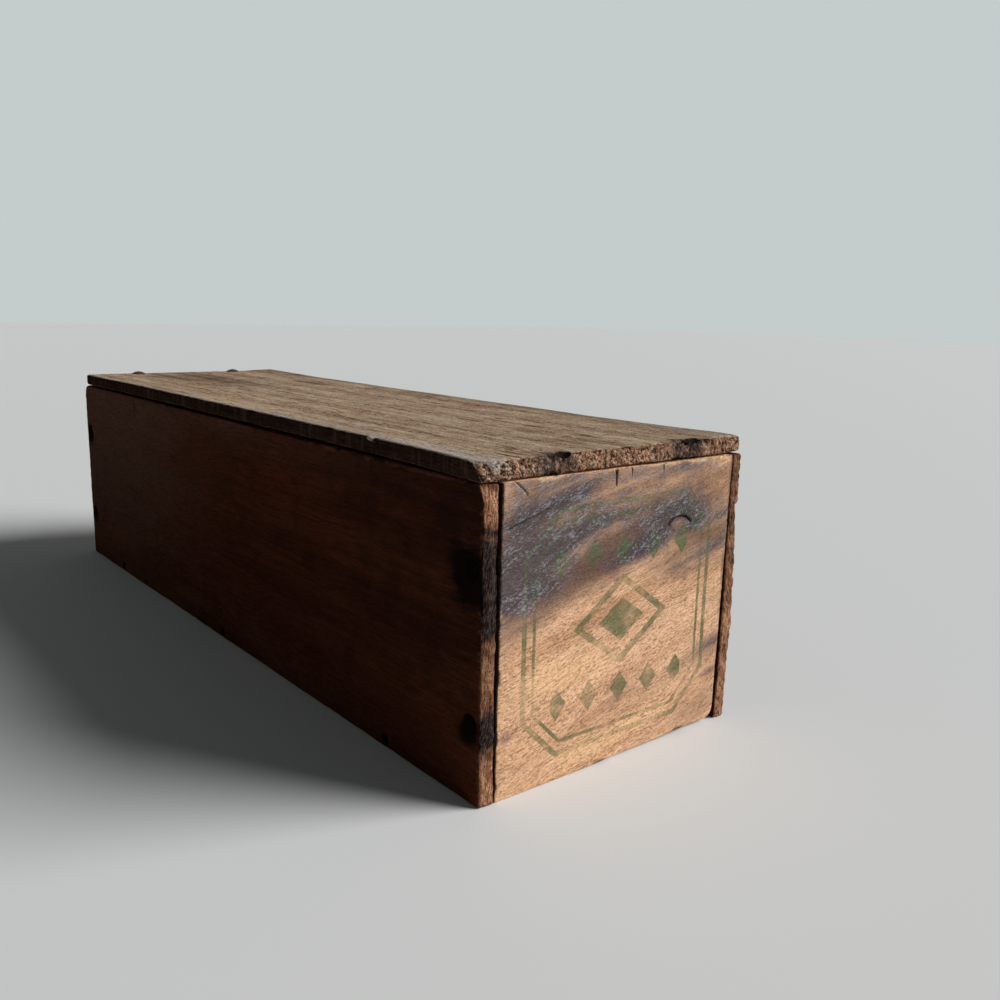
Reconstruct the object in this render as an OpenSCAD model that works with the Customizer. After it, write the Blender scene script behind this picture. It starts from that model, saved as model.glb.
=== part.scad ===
// Nailed wooden cheese box with a lid that swings on two small butt hinges.
// Millimetres. The origin is the middle of the base, +Z is up, the front end is at -Y and the hinges at +Y.

/* [Box] */
// Length over the ends of the side boards
box_length = 322; // [240:1:400]
// Width over the outer faces of the side boards
box_width = 99; // [86:1:140]
// Height of the side and end boards
wall_height = 85; // [70:1:120]

/* [Boards] */
// Thickness of the two long side boards
side_thickness = 4.8; // [3.6:0.1:7]
// Thickness of the two end boards
end_thickness = 9.5; // [8.5:0.1:14]
// Thickness of the bottom board
bottom_thickness = 4.8; // [3.6:0.1:8]
// Thickness of the lid board
lid_thickness = 4.8; // [4:0.1:8]
// Radius of the eased edges on the wall and bottom boards
edge_radius = 0.7; // [0.3:0.1:1.5]
// Gap at the left of each end board, where the wood has shrunk across its width
end_shrinkage = 0.9; // [0.2:0.1:2]
// Gap on each long side of the bottom board
bottom_gap = 0.2; // [0.1:0.1:0.8]

/* [Lid] */
// Gap between the rim of the box and the underside of the closed lid
lid_gap = 0.5; // [0.3:0.1:1.2]
// Distance from each outer side face to the long edge of the lid
lid_side_inset = 0.4; // [0:0.1:2]
// Distance from the front face of the box to the front edge of the lid
lid_front_inset = 0.3; // [0:0.1:2]
// Distance from the rear face of the box to the rear edge of the lid
lid_rear_inset = 2; // [0.5:0.1:3]
// Radius of the rounded long edges of the lid
lid_edge_radius = 1.5; // [0.5:0.1:1.9]
// Radius of the lid's worn corners, seen from above
lid_corner_radius = 1.5; // [1:0.5:8]

/* [Wear on the lid] */
// Distance between the two old nail holes at the front of the lid
old_nail_spacing = 51; // [40:1:60]
// Distance from the front face of the box to the old nail holes
old_nail_inset = 4.5; // [3.5:0.1:6]
// Diameter of the old nail holes
old_nail_hole = 1.8; // [1.2:0.1:2.6]
// Depth of the old nail holes in the front end board
old_nail_depth = 14; // [6:1:16]
// Width of each break-out along the front edge
breakout_width = 11; // [9.6:0.2:16]
// How far each break-out reaches back over the top
breakout_reach = 4.4; // [2:0.2:4.6]
// How far each break-out drops down the front edge
breakout_drop = 2.6; // [1:0.2:3.4]
// Distance from the front of the lid to the front pair of strap notches
front_strap_inset = 49; // [35:1:80]
// Distance from the rear of the lid to the rear pair of strap notches
rear_strap_inset = 78; // [50:1:95]
// Radius of the strap notches
strap_notch_radius = 1.4; // [0.8:0.1:2.5]
// Depth of the strap notches into the edge of the lid
strap_notch_depth = 0.7; // [0.3:0.1:0.8]

/* [Nails] */
// Shank diameter of the corner nails
nail_diameter = 1.8; // [1.2:0.1:2.4]
// Length of the corner nails
nail_length = 28; // [20:1:36]
// Head diameter of the corner nails
nail_head_diameter = 4.6; // [3.6:0.1:6]
// Head thickness of the corner nails
nail_head_thickness = 0.8; // [0.5:0.1:1.2]
// Distance of the corner nails from the top and bottom edges of the side boards
nail_margin = 22; // [20:0.5:30]
// Shank diameter of the brads that hold the bottom board
brad_diameter = 1.4; // [1:0.1:1.8]
// Length of the bottom brads
brad_length = 20; // [14:1:28]
// Head diameter of the bottom brads
brad_head_diameter = 2.6; // [2.2:0.1:3.4]
// Head thickness of the bottom brads
brad_head_thickness = 0.7; // [0.4:0.1:1]
// Distance from each end of the box to the nearest bottom brad
brad_end_margin = 45; // [25:1:100]
// Number of brads along each side
brad_count = 3; // [2:1:6]
// Length of the tapered point on nails, brads and screws
point_length = 2.4; // [1.2:0.1:3.6]
// Depth of the nail heads below the wood
head_sink = 0.2; // [0:0.05:0.6]
// Radial room of nails, brads, screws and rivets in their holes
fastener_fit = 0.05; // [0.02:0.01:0.15]

/* [Hinges] */
// Distance between the middles of the two hinges
hinge_spacing = 50; // [40:1:56]
// Length of each hinge along its pin
leaf_width = 20; // [16:0.5:26]
// Thickness of the leaves
leaf_thickness = 0.8; // [0.6:0.05:1]
// Reach of the fixed leaf over the rear end board
box_leaf_depth = 7.5; // [6:0.1:8]
// Reach of the moving leaf under the lid, from the rear face of the box
lid_leaf_depth = 10.5; // [9:0.1:14]
// Room round each leaf in its mortise
mortise_fit = 0.1; // [0.05:0.05:0.3]
// Outer diameter of the knuckles
knuckle_diameter = 3.2; // [3:0.1:4]
// Distance from the rear face of the box to the knuckles
knuckle_stand = 0.3; // [0.2:0.1:1]
// Length of the middle knuckle along the pin
middle_knuckle_width = 8; // [6:0.5:9]
// Gap between neighbouring knuckles
knuckle_gap = 0.2; // [0.1:0.05:0.4]
// Diameter of the hinge pin
pin_diameter = 1.6; // [1.3:0.05:1.7]
// Radial running clearance of the pin
pin_clearance = 0.05; // [0.02:0.01:0.1]
// Diameter of the peened pin ends
pin_head_diameter = 2.4; // [2:0.1:2.8]
// Height of the peened pin ends
pin_head_height = 0.6; // [0.3:0.1:1]
// Distance between the two screws of a fixed leaf
screw_spacing = 12; // [9:0.5:13]
// Shank diameter of the hinge screws
screw_diameter = 1.8; // [1.4:0.1:2]
// Length of the hinge screws
screw_length = 9; // [6:0.5:12]
// Head diameter of the hinge screws
screw_head_diameter = 3.2; // [2.8:0.1:3.6]
// Width of the slot in the screw heads
screw_slot_width = 0.5; // [0.3:0.05:0.7]
// Depth of the slot in the screw heads
screw_slot_depth = 0.4; // [0.2:0.05:0.5]
// Shank diameter of the lid rivets
rivet_diameter = 2.6; // [2:0.1:3.2]
// Head diameter of the lid rivets
rivet_head_diameter = 6.8; // [6:0.1:9]
// Height of the domed rivet heads
rivet_head_height = 1.3; // [1:0.1:2.4]
// Diameter of the clenched rivet tails
rivet_tail_diameter = 4; // [3.4:0.1:5]
// Distance from the rear edge of the lid to the rivets
rivet_inset = 4.5; // [4:0.1:6]

/* [Hidden] */
$fn = 48;

// Side and end signs: left is -X, front is -Y
left = -1;
right = 1;
front = -1;
rear = 1;

// Extra length of a cutting tool past the face it opens
overcut = 1;

inner_width = box_width - 2 * side_thickness;
inner_length = box_length - 2 * end_thickness;
rear_face = box_length / 2;
front_face = -box_length / 2;
end_board_width = inner_width - end_shrinkage;
end_board_shift = end_shrinkage / 2;

lid_bottom = wall_height + lid_gap;
lid_top = lid_bottom + lid_thickness;
lid_width = box_width - 2 * lid_side_inset;
lid_front = front_face + lid_front_inset;
lid_rear = rear_face - lid_rear_inset;
lid_length = lid_rear - lid_front;
lid_middle = (lid_front + lid_rear) / 2;

// Sphere that leaves a break-out of the given width, reach and drop on the lid's front top edge
breakout_forward = (pow(breakout_width / 2, 2) - pow(breakout_reach, 2)) / (2 * breakout_reach);
breakout_above = (pow(breakout_width / 2, 2) - pow(breakout_drop, 2)) / (2 * breakout_drop);
breakout_radius = norm([breakout_width / 2, breakout_forward, breakout_above]);
strap_notch_places = [lid_front + front_strap_inset, lid_rear - rear_strap_inset];

nail_heights = [nail_margin, wall_height - nail_margin];
nail_setback = box_length / 2 - end_thickness / 2;
brad_reach = box_length / 2 - brad_end_margin;
brad_step = 2 * brad_reach / (brad_count - 1);
brad_places = [for (i = [0:brad_count - 1]) -brad_reach + i * brad_step];
brad_height = bottom_thickness / 2;

hinge_axis_y = rear_face + knuckle_stand + knuckle_diameter / 2;
hinge_axis_z = wall_height + lid_gap / 2;
outer_knuckle_width = (leaf_width - middle_knuckle_width) / 2 - knuckle_gap;
pin_length = leaf_width + 2 * pin_clearance;
screw_place_y = rear_face - box_leaf_depth / 2;
rivet_place_y = lid_rear - rivet_inset;
dome_radius = (pow(rivet_head_diameter / 2, 2) + pow(rivet_head_height, 2)) / (2 * rivet_head_height);

board_colour = "peru";
end_colour = "sandybrown";
lid_colour = "rosybrown";
iron_colour = "dimgray";

// Rectangle with rounded corners, centred on the origin
module eased_rectangle(width, height, radius) {
    square([width - 2 * radius, height], center = true);
    square([width, height - 2 * radius], center = true);
    for (x = [-1, 1], y = [-1, 1]) {
        translate([x * (width / 2 - radius), y * (height / 2 - radius)])
            circle(radius);
    }
}

// Board whose eased section lies in XZ and whose grain runs along Y, centred on the origin
module board_along_y(width, height, length, radius) {
    rotate([90, 0, 0])
        linear_extrude(length, center = true)
            eased_rectangle(width, height, radius);
}

// Board whose eased section lies in YZ and whose grain runs along X, centred on the origin
module board_along_x(length, depth, height, radius) {
    rotate([0, 0, 90])
        board_along_y(depth, height, length, radius);
}

// Nail along +Z with the outer face of its head at the origin
module nail(diameter, length, head_diameter, head_thickness) {
    rotate_extrude()
        polygon([
            [0, 0],
            [head_diameter / 2, 0],
            [head_diameter / 2, head_thickness],
            [diameter / 2, head_thickness],
            [diameter / 2, length - point_length],
            [0, length]
        ]);
}

// Hole that a nail along +Z makes, open at the head
module nail_hole(diameter, length, head_diameter, head_thickness) {
    translate([0, 0, -overcut])
        cylinder(d = head_diameter + 2 * fastener_fit, h = head_thickness + overcut);
    cylinder(d = diameter + 2 * fastener_fit, h = length + fastener_fit);
}

// Turns what points along +Z so that it drives in from the left or the right side
module from_side(side) {
    translate([side * (box_width / 2 - head_sink), 0, 0])
        rotate([0, -side * 90, 0])
            children();
}

// Places one child for each of the two nails at a corner
module at_corner_nails(side, end) {
    for (height = nail_heights) {
        translate([0, end * nail_setback, height])
            from_side(side)
                children();
    }
}

// Places one child for each bottom brad on one side
module at_brads(side) {
    for (place = brad_places) {
        translate([0, place, brad_height])
            from_side(side)
                children();
    }
}

module corner_nail_holes(side, end) {
    at_corner_nails(side, end)
        nail_hole(nail_diameter, nail_length, nail_head_diameter, nail_head_thickness);
}

module brad_holes(side) {
    at_brads(side)
        nail_hole(brad_diameter, brad_length, brad_head_diameter, brad_head_thickness);
}

// Pair of places across the width of the box
module at_pair(spacing) {
    for (side = [left, right]) {
        translate([side * spacing / 2, 0, 0])
            children();
    }
}

module bottom_board() {
    color(board_colour)
        difference() {
            translate([0, 0, bottom_thickness / 2])
                board_along_y(inner_width - 2 * bottom_gap, bottom_thickness, inner_length, edge_radius);
            brad_holes(left);
            brad_holes(right);
        }
}

module side_board(side) {
    color(board_colour)
        difference() {
            translate([side * (box_width - side_thickness) / 2, 0, wall_height / 2])
                board_along_y(side_thickness, wall_height, box_length, edge_radius);
            corner_nail_holes(side, front);
            corner_nail_holes(side, rear);
            brad_holes(side);
        }
}

// End board with the nail holes of its two corners, before its own cuts
module plain_end_board(end) {
    place_y = end * (box_length - end_thickness) / 2;
    difference() {
        translate([end_board_shift, place_y, wall_height / 2])
            board_along_x(end_board_width, end_thickness, wall_height, edge_radius);
        corner_nail_holes(left, end);
        corner_nail_holes(right, end);
    }
}

module front_end_board() {
    color(end_colour)
        difference() {
            plain_end_board(front);
            at_pair(old_nail_spacing)
                translate([0, front_face + old_nail_inset, wall_height - old_nail_depth])
                    cylinder(d = old_nail_hole, h = old_nail_depth + overcut);
        }
}

module rear_end_board() {
    color(end_colour)
        difference() {
            plain_end_board(rear);
            at_pair(hinge_spacing) {
                box_leaf_mortise();
                at_screws()
                    cylinder(d = screw_diameter + 2 * fastener_fit, h = screw_length + fastener_fit);
            }
        }
}

module lid_board() {
    color(lid_colour)
        difference() {
            lid_blank();
            at_pair(hinge_spacing) {
                lid_leaf_mortise();
                rivet_hole();
            }
            at_pair(old_nail_spacing) {
                breakout();
                old_lid_nail_hole();
            }
            strap_notches();
        }
}

module lid_blank() {
    translate([0, lid_middle, (lid_bottom + lid_top) / 2])
        intersection() {
            board_along_y(lid_width, lid_thickness, lid_length, lid_edge_radius);
            linear_extrude(lid_thickness + 2 * overcut, center = true)
                eased_rectangle(lid_width, lid_length, lid_corner_radius);
        }
}

module breakout() {
    translate([0, lid_front - breakout_forward, lid_top + breakout_above])
        sphere(breakout_radius);
}

module old_lid_nail_hole() {
    translate([0, front_face + old_nail_inset, lid_bottom - overcut])
        cylinder(d = old_nail_hole, h = lid_thickness + 2 * overcut);
}

module strap_notches() {
    for (side = [left, right], place = strap_notch_places) {
        translate([
            side * (lid_width / 2 - strap_notch_depth + strap_notch_radius),
            place,
            lid_bottom - overcut
        ])
            cylinder(r = strap_notch_radius, h = lid_thickness + 2 * overcut);
    }
}

module corner_nails(side, end) {
    color(iron_colour)
        at_corner_nails(side, end)
            nail(nail_diameter, nail_length, nail_head_diameter, nail_head_thickness);
}

module bottom_brads(side) {
    color(iron_colour)
        at_brads(side)
            nail(brad_diameter, brad_length, brad_head_diameter, brad_head_thickness);
}

// Hinge parts are drawn for a hinge in the middle of the box and moved to either side by at_hinge
module at_hinge(side) {
    translate([side * hinge_spacing / 2, 0, 0])
        children();
}

// Cylinder along X on the hinge axis, centred on the given place
module on_axis(diameter, length, place) {
    translate([place, hinge_axis_y, hinge_axis_z])
        rotate([0, 90, 0])
            cylinder(d = diameter, h = length, center = true);
}

// Flat stretch of a leaf from y_from to y_to, centred on the given place along X
module leaf_plate(width, place, y_from, y_to, z_from) {
    translate([place - width / 2, y_from, z_from])
        cube([width, y_to - y_from, leaf_thickness]);
}

// Knuckle with the strip of leaf that runs into it
module knuckle(width, place, y_from, z_from) {
    leaf_plate(width, place, y_from, hinge_axis_y, z_from);
    on_axis(knuckle_diameter, width, place);
}

module pin_bore() {
    on_axis(pin_diameter + 2 * pin_clearance, leaf_width + 2 * overcut, 0);
}

module box_leaf() {
    color(iron_colour)
        difference() {
            union() {
                plate_bottom = wall_height - leaf_thickness;
                leaf_plate(leaf_width, 0, rear_face - box_leaf_depth, rear_face, plate_bottom);
                for (side = [left, right]) {
                    place = side * (leaf_width - outer_knuckle_width) / 2;
                    knuckle(outer_knuckle_width, place, rear_face - box_leaf_depth / 2, plate_bottom);
                }
            }
            pin_bore();
            at_screws()
                screw_seat();
        }
}

module lid_leaf() {
    color(iron_colour)
        difference() {
            union() {
                leaf_plate(leaf_width, 0, rear_face - lid_leaf_depth, lid_rear, lid_bottom);
                knuckle(middle_knuckle_width, 0, rear_face - lid_leaf_depth / 2, lid_bottom);
            }
            pin_bore();
            rivet_hole();
            rivet_tail(fastener_fit);
        }
}

module hinge_pin() {
    color(iron_colour) {
        on_axis(pin_diameter, pin_length + pin_head_height, 0);
        for (side = [left, right]) {
            on_axis(pin_head_diameter, pin_head_height, side * (pin_length + pin_head_height) / 2);
        }
    }
}

module box_leaf_mortise() {
    translate([
        -leaf_width / 2 - mortise_fit,
        rear_face - box_leaf_depth - mortise_fit,
        wall_height - leaf_thickness
    ])
        cube([leaf_width + 2 * mortise_fit, box_leaf_depth + mortise_fit + overcut, leaf_thickness + overcut]);
}

module lid_leaf_mortise() {
    translate([
        -leaf_width / 2 - mortise_fit,
        rear_face - lid_leaf_depth - mortise_fit,
        lid_bottom - overcut
    ])
        cube([leaf_width + 2 * mortise_fit, lid_leaf_depth + mortise_fit + overcut, leaf_thickness + overcut]);
}

// Places a child at each screw, with its head at the origin and the screw pointing down +Z
module at_screws() {
    for (side = [left, right]) {
        translate([side * screw_spacing / 2, screw_place_y, wall_height])
            rotate([180, 0, 0])
                children();
    }
}

// Countersunk head that ends at the underside of the leaf
module screw_head(fit) {
    cylinder(d1 = screw_head_diameter + 2 * fit, d2 = screw_diameter + 2 * fit, h = leaf_thickness);
}

module screw_seat() {
    screw_head(fastener_fit);
    translate([0, 0, -overcut])
        cylinder(d = screw_diameter + 2 * fastener_fit, h = leaf_thickness + 2 * overcut);
}

module screw() {
    difference() {
        union() {
            screw_head(0);
            cylinder(d = screw_diameter, h = screw_length - point_length);
            translate([0, 0, screw_length - point_length])
                cylinder(d1 = screw_diameter, d2 = 0, h = point_length);
        }
        cube([screw_head_diameter + overcut, screw_slot_width, 2 * screw_slot_depth], center = true);
    }
}

module leaf_screws() {
    color(iron_colour)
        at_screws()
            screw();
}

module rivet_hole() {
    translate([0, rivet_place_y, lid_bottom - overcut])
        cylinder(d = rivet_diameter + 2 * fastener_fit, h = lid_thickness + 2 * overcut);
}

// Tail of a rivet, clenched into the countersunk hole of the leaf
module rivet_tail(fit) {
    translate([0, rivet_place_y, lid_bottom])
        cylinder(d1 = rivet_tail_diameter + 2 * fit, d2 = rivet_diameter + 2 * fit, h = leaf_thickness);
}

module lid_rivet() {
    color(iron_colour) {
        translate([0, rivet_place_y, lid_bottom])
            cylinder(d = rivet_diameter, h = lid_thickness + rivet_head_height / 2);
        rivet_tail(0);
        translate([0, rivet_place_y, lid_top])
            intersection() {
                translate([0, 0, rivet_head_height - dome_radius])
                    sphere(dome_radius);
                cylinder(d = rivet_head_diameter + overcut, h = rivet_head_height + overcut);
            }
    }
}

bottom_board();
side_board(left);  // left_side_board
side_board(right);  // right_side_board
front_end_board();
rear_end_board();
lid_board();
corner_nails(left, front);  // front_left_nails
corner_nails(right, front);  // front_right_nails
corner_nails(left, rear);  // rear_left_nails
corner_nails(right, rear);  // rear_right_nails
bottom_brads(left);  // left_bottom_brads
bottom_brads(right);  // right_bottom_brads
at_hinge(left) box_leaf();  // left_hinge_box_leaf
at_hinge(left) lid_leaf();  // left_hinge_lid_leaf
at_hinge(left) hinge_pin();  // left_hinge_pin
at_hinge(left) leaf_screws();  // left_hinge_screws
at_hinge(left) lid_rivet();  // left_hinge_rivet
at_hinge(right) box_leaf();  // right_hinge_box_leaf
at_hinge(right) lid_leaf();  // right_hinge_lid_leaf
at_hinge(right) hinge_pin();  // right_hinge_pin
at_hinge(right) leaf_screws();  // right_hinge_screws
at_hinge(right) lid_rivet();  // right_hinge_rivet
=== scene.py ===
import itertools
import math
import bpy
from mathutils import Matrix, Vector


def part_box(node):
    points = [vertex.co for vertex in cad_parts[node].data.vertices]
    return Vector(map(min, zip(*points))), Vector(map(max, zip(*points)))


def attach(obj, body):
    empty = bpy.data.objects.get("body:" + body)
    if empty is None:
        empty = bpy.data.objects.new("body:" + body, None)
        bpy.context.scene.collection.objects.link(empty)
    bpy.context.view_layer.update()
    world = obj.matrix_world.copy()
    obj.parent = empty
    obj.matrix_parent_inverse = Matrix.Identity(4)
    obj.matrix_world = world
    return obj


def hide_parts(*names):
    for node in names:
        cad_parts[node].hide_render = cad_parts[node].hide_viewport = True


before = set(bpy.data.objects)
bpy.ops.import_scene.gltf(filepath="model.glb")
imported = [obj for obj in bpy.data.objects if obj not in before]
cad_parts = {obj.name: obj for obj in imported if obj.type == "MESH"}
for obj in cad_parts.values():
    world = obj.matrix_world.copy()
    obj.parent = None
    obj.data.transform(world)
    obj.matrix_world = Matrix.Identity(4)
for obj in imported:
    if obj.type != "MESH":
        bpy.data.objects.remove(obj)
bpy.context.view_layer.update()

from types import SimpleNamespace

import bpy
import numpy as np
from mathutils import Euler, Matrix, Vector

# Sizes below are in millimetres in the shared frame: the front end is at -Y and the left side at -X.
MM = 0.001
X, Y, Z = 0, 1, 2


# Sums over points. The random numbers are the same on every run.


def hashed(cells, seed):
    """Random numbers from -1 to 1 for whole-number cells."""
    n = cells[..., X] * 73856093 ^ cells[..., Y] * 19349663 ^ cells[..., Z] * 83492791
    n = (n ^ seed * 668265263) & 0xFFFFFFFF
    n = ((n ^ n >> 15) * 2246822519) & 0xFFFFFFFF
    n = ((n ^ n >> 13) * 3266489917) & 0xFFFFFFFF
    return (n ^ n >> 16) / 0x7FFFFFFF - 1


def smooth_noise(points, seed):
    """Noise from -1 to 1 whose patches are one unit across."""
    cells = np.floor(points).astype(np.int64)
    part = points - cells
    fade = part * part * (3 - 2 * part)
    total = np.zeros(len(points))
    for corner in itertools.product((0, 1), repeat=3):
        weight = np.prod(np.where(corner, fade, 1 - fade), axis=1)
        total += weight * hashed(cells + np.array(corner), seed)
    return total


def fractal(points, seed):
    """Noise with two finer, weaker copies of itself added."""
    layers = [smooth_noise(points * 2**k, seed + k) / 2**k for k in range(3)]
    return sum(layers) / 1.5


def ease(value, low, high):
    """A smooth step from 0 at low to 1 at high. low may be the larger one."""
    part = np.clip((value - low) / (high - low), 0, 1)
    return part * part * (3 - 2 * part)


def rotated(u, v, degrees):
    """Places along and across a direction that rises from u towards v."""
    cos, sin = math.cos(math.radians(degrees)), math.sin(math.radians(degrees))
    return u * cos + v * sin, v * cos - u * sin


# Boards: closed grids of points over the CAD boards


def box_of(node):
    """Lowest and highest corner of a CAD node in millimetres."""
    return [np.array(corner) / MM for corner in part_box(node)]


def axis_lines(low, high, coarse, zones):
    """Grid lines from low to high, coarse apart, and closer in each zone (start, end, step)."""
    lines = np.linspace(low, high, max(2, round((high - low) / coarse) + 1))
    for start, end, step in zones:
        start, end = max(start, low), min(end, high)
        fine = np.linspace(start, end, max(2, round((end - start) / step) + 1))
        outside = (lines < start - step / 2) | (lines > end + step / 2)
        lines = np.sort(np.concatenate([lines[outside], fine]))
    ends = (lines == lines[0]) | (lines == lines[-1])
    return lines[ends | (np.diff(lines, prepend=low - 1) > 0.01)]


def lattice_box(lines):
    """A closed box on grid lines: its points, its four-cornered faces and each side's face count."""
    counts = [len(each) for each in lines]
    quads = []
    for axis in (X, Y, Z):
        u, v = (axis + 1) % 3, (axis + 2) % 3
        i, j = np.meshgrid(np.arange(counts[u] - 1), np.arange(counts[v] - 1), indexing="ij")
        for end in (0, counts[axis] - 1):
            corners = np.zeros((4, i.size, 3), np.int64)
            corners[..., axis] = end
            for corner, (du, dv) in zip(corners, ((0, 0), (1, 0), (1, 1), (0, 1))):
                corner[:, u] = i.ravel() + du
                corner[:, v] = j.ravel() + dv
            order = slice(None) if end else slice(None, None, -1)
            quads.append(corners[order].transpose(1, 0, 2))
    keys = [np.ravel_multi_index(quad.reshape(-1, 3).T, counts) for quad in quads]
    unique, inverse = np.unique(np.concatenate(keys), return_inverse=True)
    index = np.unravel_index(unique, counts)
    points = np.stack([lines[axis][index[axis]] for axis in (X, Y, Z)], axis=1)
    return points, inverse.reshape(-1, 4), [len(quad) for quad in quads]


def side_maps(points, faces, side_counts):
    """A flat map at one scale: the six sides lie in rows, each with its longer edge along u."""
    maps = np.zeros((len(faces), 4, 2))
    gap = 2.0
    top = gap
    widest = 0
    first = 0
    for number, count in enumerate(side_counts):
        flat = [axis for axis in (X, Y, Z) if axis != number // 2]
        corners = points[faces[first : first + count]][..., flat]
        corners = corners - corners.min(axis=(0, 1))
        if corners[..., 1].max() > corners[..., 0].max():
            corners = corners[..., ::-1]
        maps[first : first + count] = corners + np.array([gap, top])
        top += corners[..., 1].max() + gap
        widest = max(widest, corners[..., 0].max() + 2 * gap)
        first += count
    return maps / max(top, widest)


# Masks that a board hands to its material. The dirt mask holds grime and also painted shade in joints,
# cracks, notches and holes; the iron mask also paints shade on the lid's long edges; the wear mask
# also paints light low on the sides and on the raised crumbs of the lid's front end.
MASKS = ("end_grain", "inside", "wear", "dirt", "brown", "stain", "iron")
# Most that an edge is rounded, as a share of the thickness, and how far its wear reaches
MOST_ROUNDING, WEAR_REACH = 0.46, 1.1


class Board:
    """A board as a grid of points in millimetres, with masks from 0 to 1 for its material."""

    def __init__(self, node, coarse, zones):
        self.node = node
        self.low, self.high = box_of(node)
        lines = [axis_lines(self.low[a], self.high[a], coarse[a], zones[a]) for a in (X, Y, Z)]
        self.start, self.faces, self.side_counts = lattice_box(lines)
        self.points = self.start.copy()
        gaps = np.sort(np.minimum(self.start - self.low, self.high - self.start), axis=1)
        self.edge_distance = gaps[:, 1]
        self.masks = {name: np.zeros(len(self.start)) for name in MASKS}

    def on_side(self, axis, *signs):
        """True for the points on one side across an axis, or on both, edges included."""
        levels = [self.high[axis] if sign > 0 else self.low[axis] for sign in signs]
        return np.abs(self.start[:, [axis]] - levels).min(axis=1) < 1e-6

    def add(self, mask, amount):
        """Strengthens a mask, up to 1."""
        self.masks[mask] = np.clip(np.maximum(self.masks[mask], amount), 0, 1)

    def noise(self, spread, seed):
        """Noise in patches of one size, or of one for each of x, y and z."""
        return fractal(self.start / np.array(spread), seed)

    def wear_edges(self, radius, chips, seed, more=0.0, pale=1.0):
        """Rounds all edges, further at random chips and by more, and marks the worn wood."""
        rounded = radius * (1 + 0.4 * self.noise(8, seed))
        bites = np.clip(self.noise(5, seed + 9) - 0.42, 0, None)
        rounded = rounded + chips * bites + more
        rounded = np.minimum(rounded, MOST_ROUNDING * (self.high - self.low).min())[:, None]
        inner = np.clip(self.start, self.low + rounded, self.high - rounded)
        offset = self.start - inner
        self.normals = offset / np.linalg.norm(offset, axis=1, keepdims=True)
        self.points = inner + self.normals * rounded
        near = np.exp(-self.edge_distance / WEAR_REACH)
        self.add("wear", pale * near * ease(self.noise(6, seed + 3), -0.5, 0.5))
        self.add("dirt", near * ease(self.noise(7, seed + 5), 0.1, 0.8))

    def roughen(self, height, spread, seed, where=1.0):
        """Moves the surface in and out by up to about height, in patches spread across."""
        self.points += self.normals * (height * self.noise(spread, seed) * where)[:, None]

    def move(self, axis, amount):
        """Moves the points along an axis."""
        self.points[:, axis] += amount

    def sink(self, depth):
        """Moves the surface in by a depth given for each point."""
        self.points -= self.normals * depth[:, None]

    def scoop(self, centre, radius):
        """Pushes points out of a ball, with a radius for each point, and says which."""
        offset = self.points - centre
        distance = np.linalg.norm(offset, axis=1)
        inside = distance < radius
        pushed = centre + offset * (radius / distance)[:, None]
        self.points = np.where(inside[:, None], pushed, self.points)
        return inside

    def make(self, name, body, material):
        """The finished piece, riding on its body in place of its CAD node."""
        mesh = bpy.data.meshes.new(name)
        mesh.from_pydata((self.points * MM).tolist(), [], self.faces.tolist())
        mesh.polygons.foreach_set("use_smooth", np.ones(len(self.faces), bool))
        layer = mesh.uv_layers.new(name="OFBake")
        maps = side_maps(self.start, self.faces, self.side_counts)
        layer.data.foreach_set("uv", maps.ravel())
        for mask, values in self.masks.items():
            attribute = mesh.attributes.new(mask, "FLOAT", "POINT")
            attribute.data.foreach_set("value", values)
        mesh.materials.append(material)
        piece = bpy.data.objects.new(name, mesh)
        bpy.context.scene.collection.objects.link(piece)
        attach(piece, body)
        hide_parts(self.node)


# Materials


def colour(red, green, blue):
    """Screen values from 0 to 255 as the shader wants them."""
    screen = np.array([red, green, blue]) / 255
    linear = np.where(screen <= 0.04045, screen / 12.92, ((screen + 0.055) / 1.055) ** 2.4)
    return (*linear.tolist(), 1.0)


class Field:
    """A number over a surface. Arithmetic on it adds math nodes."""

    def __init__(self, tree, socket):
        self.tree = tree
        self.socket = socket

    def op(self, operation, *others):
        """A math node on this number and others."""
        node = self.tree.nodes.new("ShaderNodeMath")
        node.operation = operation
        for slot, value in zip(node.inputs, (self, *others)):
            if isinstance(value, Field):
                self.tree.links.new(value.socket, slot)
            else:
                slot.default_value = value
        return Field(self.tree, node.outputs[0])

    def __add__(self, other):
        return self.op("ADD", other)

    def __sub__(self, other):
        return self.op("SUBTRACT", other)

    def __mul__(self, other):
        return self.op("MULTIPLY", other)

    def __abs__(self):
        return self.op("ABSOLUTE")

    def inverse(self):
        """1 minus this number."""
        return self.op("MULTIPLY_ADD", -1.0, 1.0)

    def ramp(self, low, high):
        """A smooth step from 0 at low to 1 at high."""
        node = self.tree.nodes.new("ShaderNodeMapRange")
        node.interpolation_type = "SMOOTHSTEP"
        self.tree.links.new(self.socket, node.inputs["Value"])
        node.inputs["From Min"].default_value = min(low, high)
        node.inputs["From Max"].default_value = max(low, high)
        node.inputs["To Min"].default_value = 0.0 if low < high else 1.0
        node.inputs["To Max"].default_value = 1.0 if low < high else 0.0
        return Field(self.tree, node.outputs["Result"])


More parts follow.
